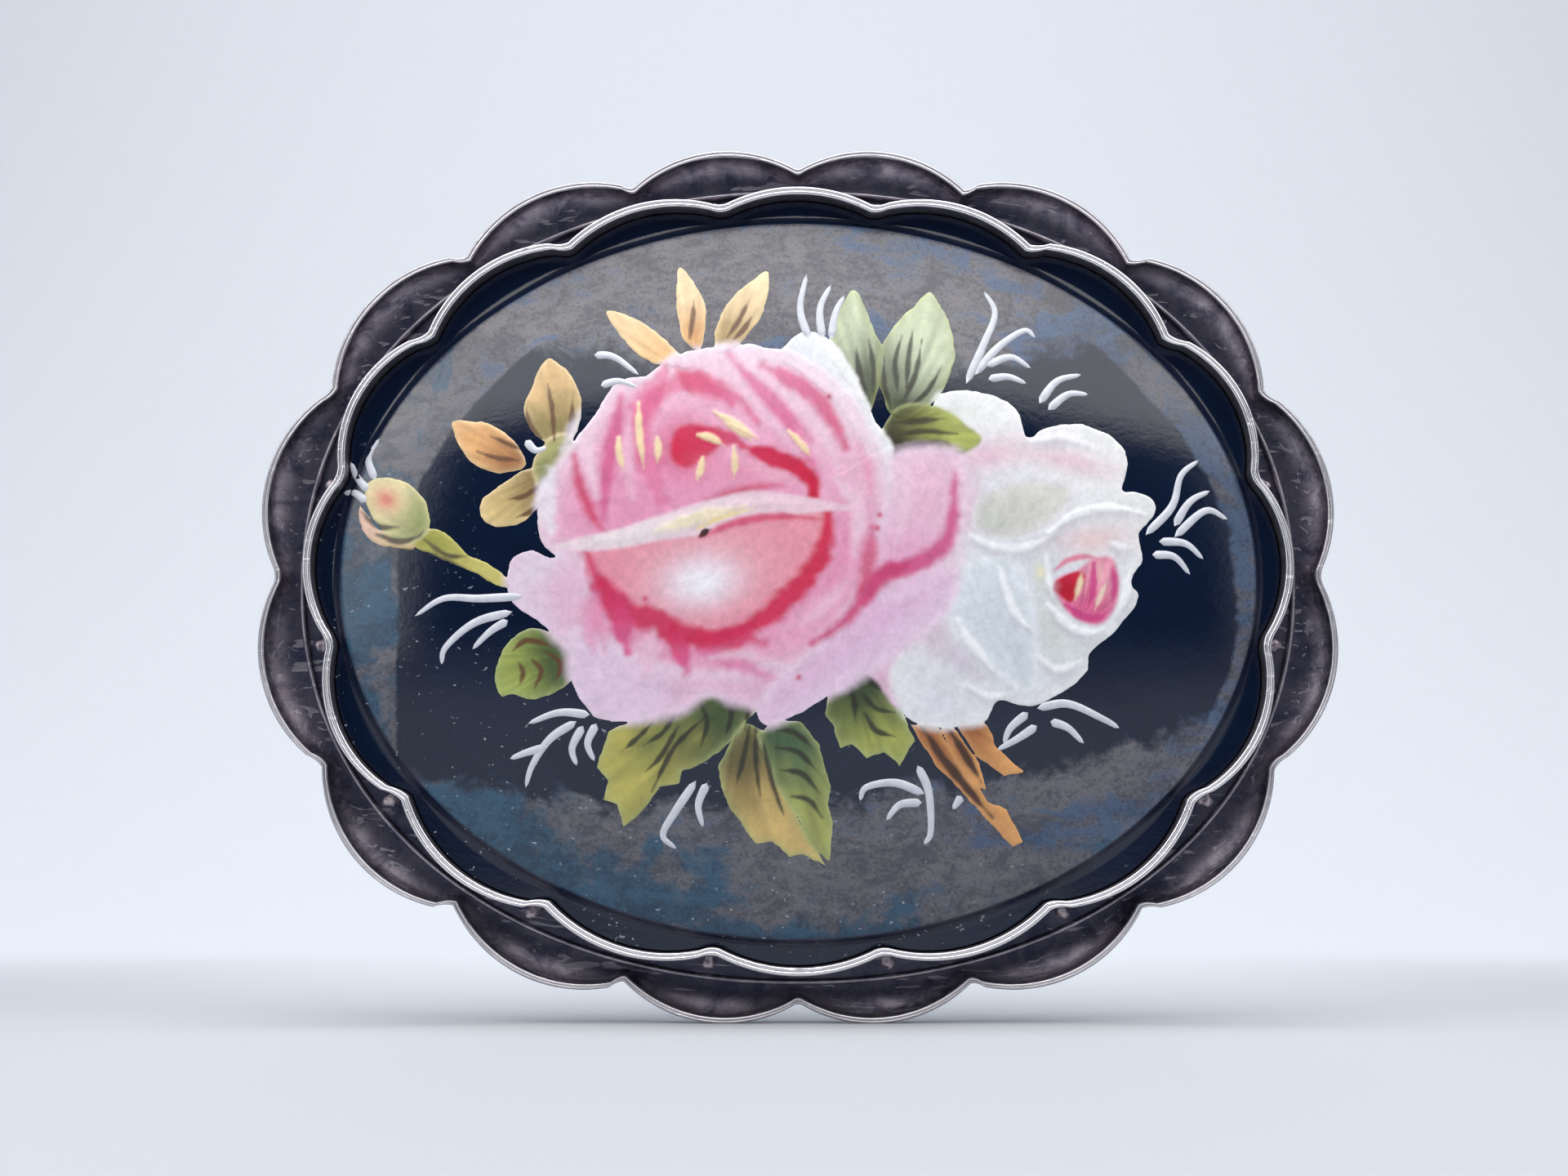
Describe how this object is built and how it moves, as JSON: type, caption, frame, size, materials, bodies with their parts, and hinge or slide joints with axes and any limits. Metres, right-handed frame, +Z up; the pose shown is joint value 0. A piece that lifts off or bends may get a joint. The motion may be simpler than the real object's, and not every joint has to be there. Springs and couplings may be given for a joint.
{
  "type": "brooch",
  "caption": "Oval scalloped silver brooch with a domed hand-painted porcelain plaque, a hinged pin and a rolling safety catch on the back.",
  "frame": {"origin": "on the axis of the pin, halfway along its straight wire, with the pin closed", "axes": "+Z up as the brooch is worn, +X along the pin towards its point and the catch, and the painted face looks along -Y"},
  "size_m": [0.0502, 0.011, 0.041],
  "materials": {
    "silver_dark": "tarnished silver with polished edges",
    "silver_bright": "worn polished silver",
    "steel": "drawn wire",
    "painted_porcelain": "high gloss, painted with flowers",
    "card": "matt"
  },
  "bodies": {
    "brooch": {"scalloped_border": "silver_dark", "gallery_wire": "silver_dark", "scalloped_collar": "silver_bright", "porcelain_plaque": "painted_porcelain", "packing_disc": "card", "back_plate": "silver_bright", "hinge_pad": "silver_bright", "hinge_block": "silver_bright", "hinge_rivet": "steel", "catch_pad": "silver_bright", "catch_housing": "silver_bright"},
    "pin": {"pin_stem": "steel"},
    "catch_lock": {"catch_sleeve": "silver_bright", "catch_tab": "silver_bright"}
  },
  "joints": [
    {"name": "pin_swing", "type": "hinge", "parent": "brooch", "child": "pin", "pos_m": [-0.015, 0, 0], "axis": [0, 0, 1], "range_deg": [0, 92]},
    {"name": "catch_turn", "type": "hinge", "parent": "brooch", "child": "catch_lock", "pos_m": [0.0152, 0, 0], "axis": [-1, 0, 0], "range_deg": [0, 150]}
  ]
}
